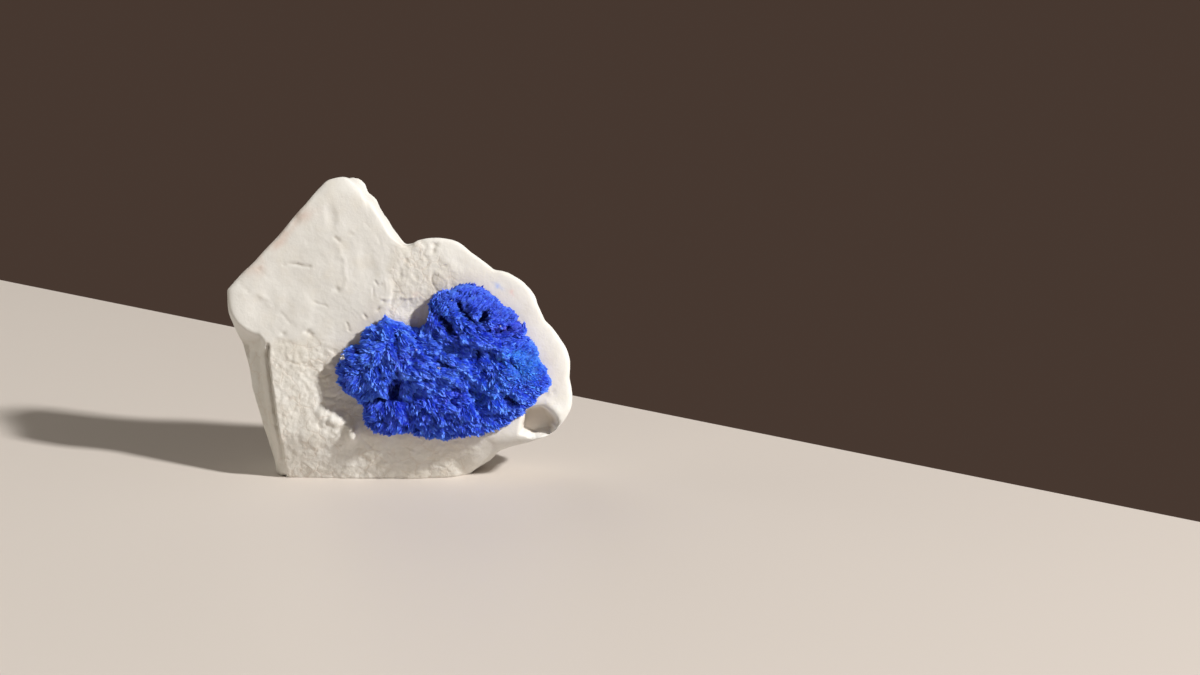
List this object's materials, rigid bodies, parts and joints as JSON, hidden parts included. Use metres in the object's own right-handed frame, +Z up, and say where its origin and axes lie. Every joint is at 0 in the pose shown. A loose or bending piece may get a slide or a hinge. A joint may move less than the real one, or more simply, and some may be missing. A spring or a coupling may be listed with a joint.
{
  "type": "azurite specimen",
  "caption": "White kaolin slab with a deep blue azurite rosette grown on its face; a mineral specimen that stands on its flat broken base.",
  "frame": {"origin": "on the surface the specimen stands on, under the middle of its bounding box", "axes": "+X along the slab's width, the long way; -Y is the side with the azurite rosette and +Y the plain back; +Z up"},
  "size_m": [0.1082, 0.042, 0.0956],
  "materials": {
    "kaolin": "matte",
    "azurite": "satin"
  },
  "bodies": {
    "root": {"kaolin_matrix": "kaolin", "azurite_rosette": "azurite"}
  },
  "joints": []
}
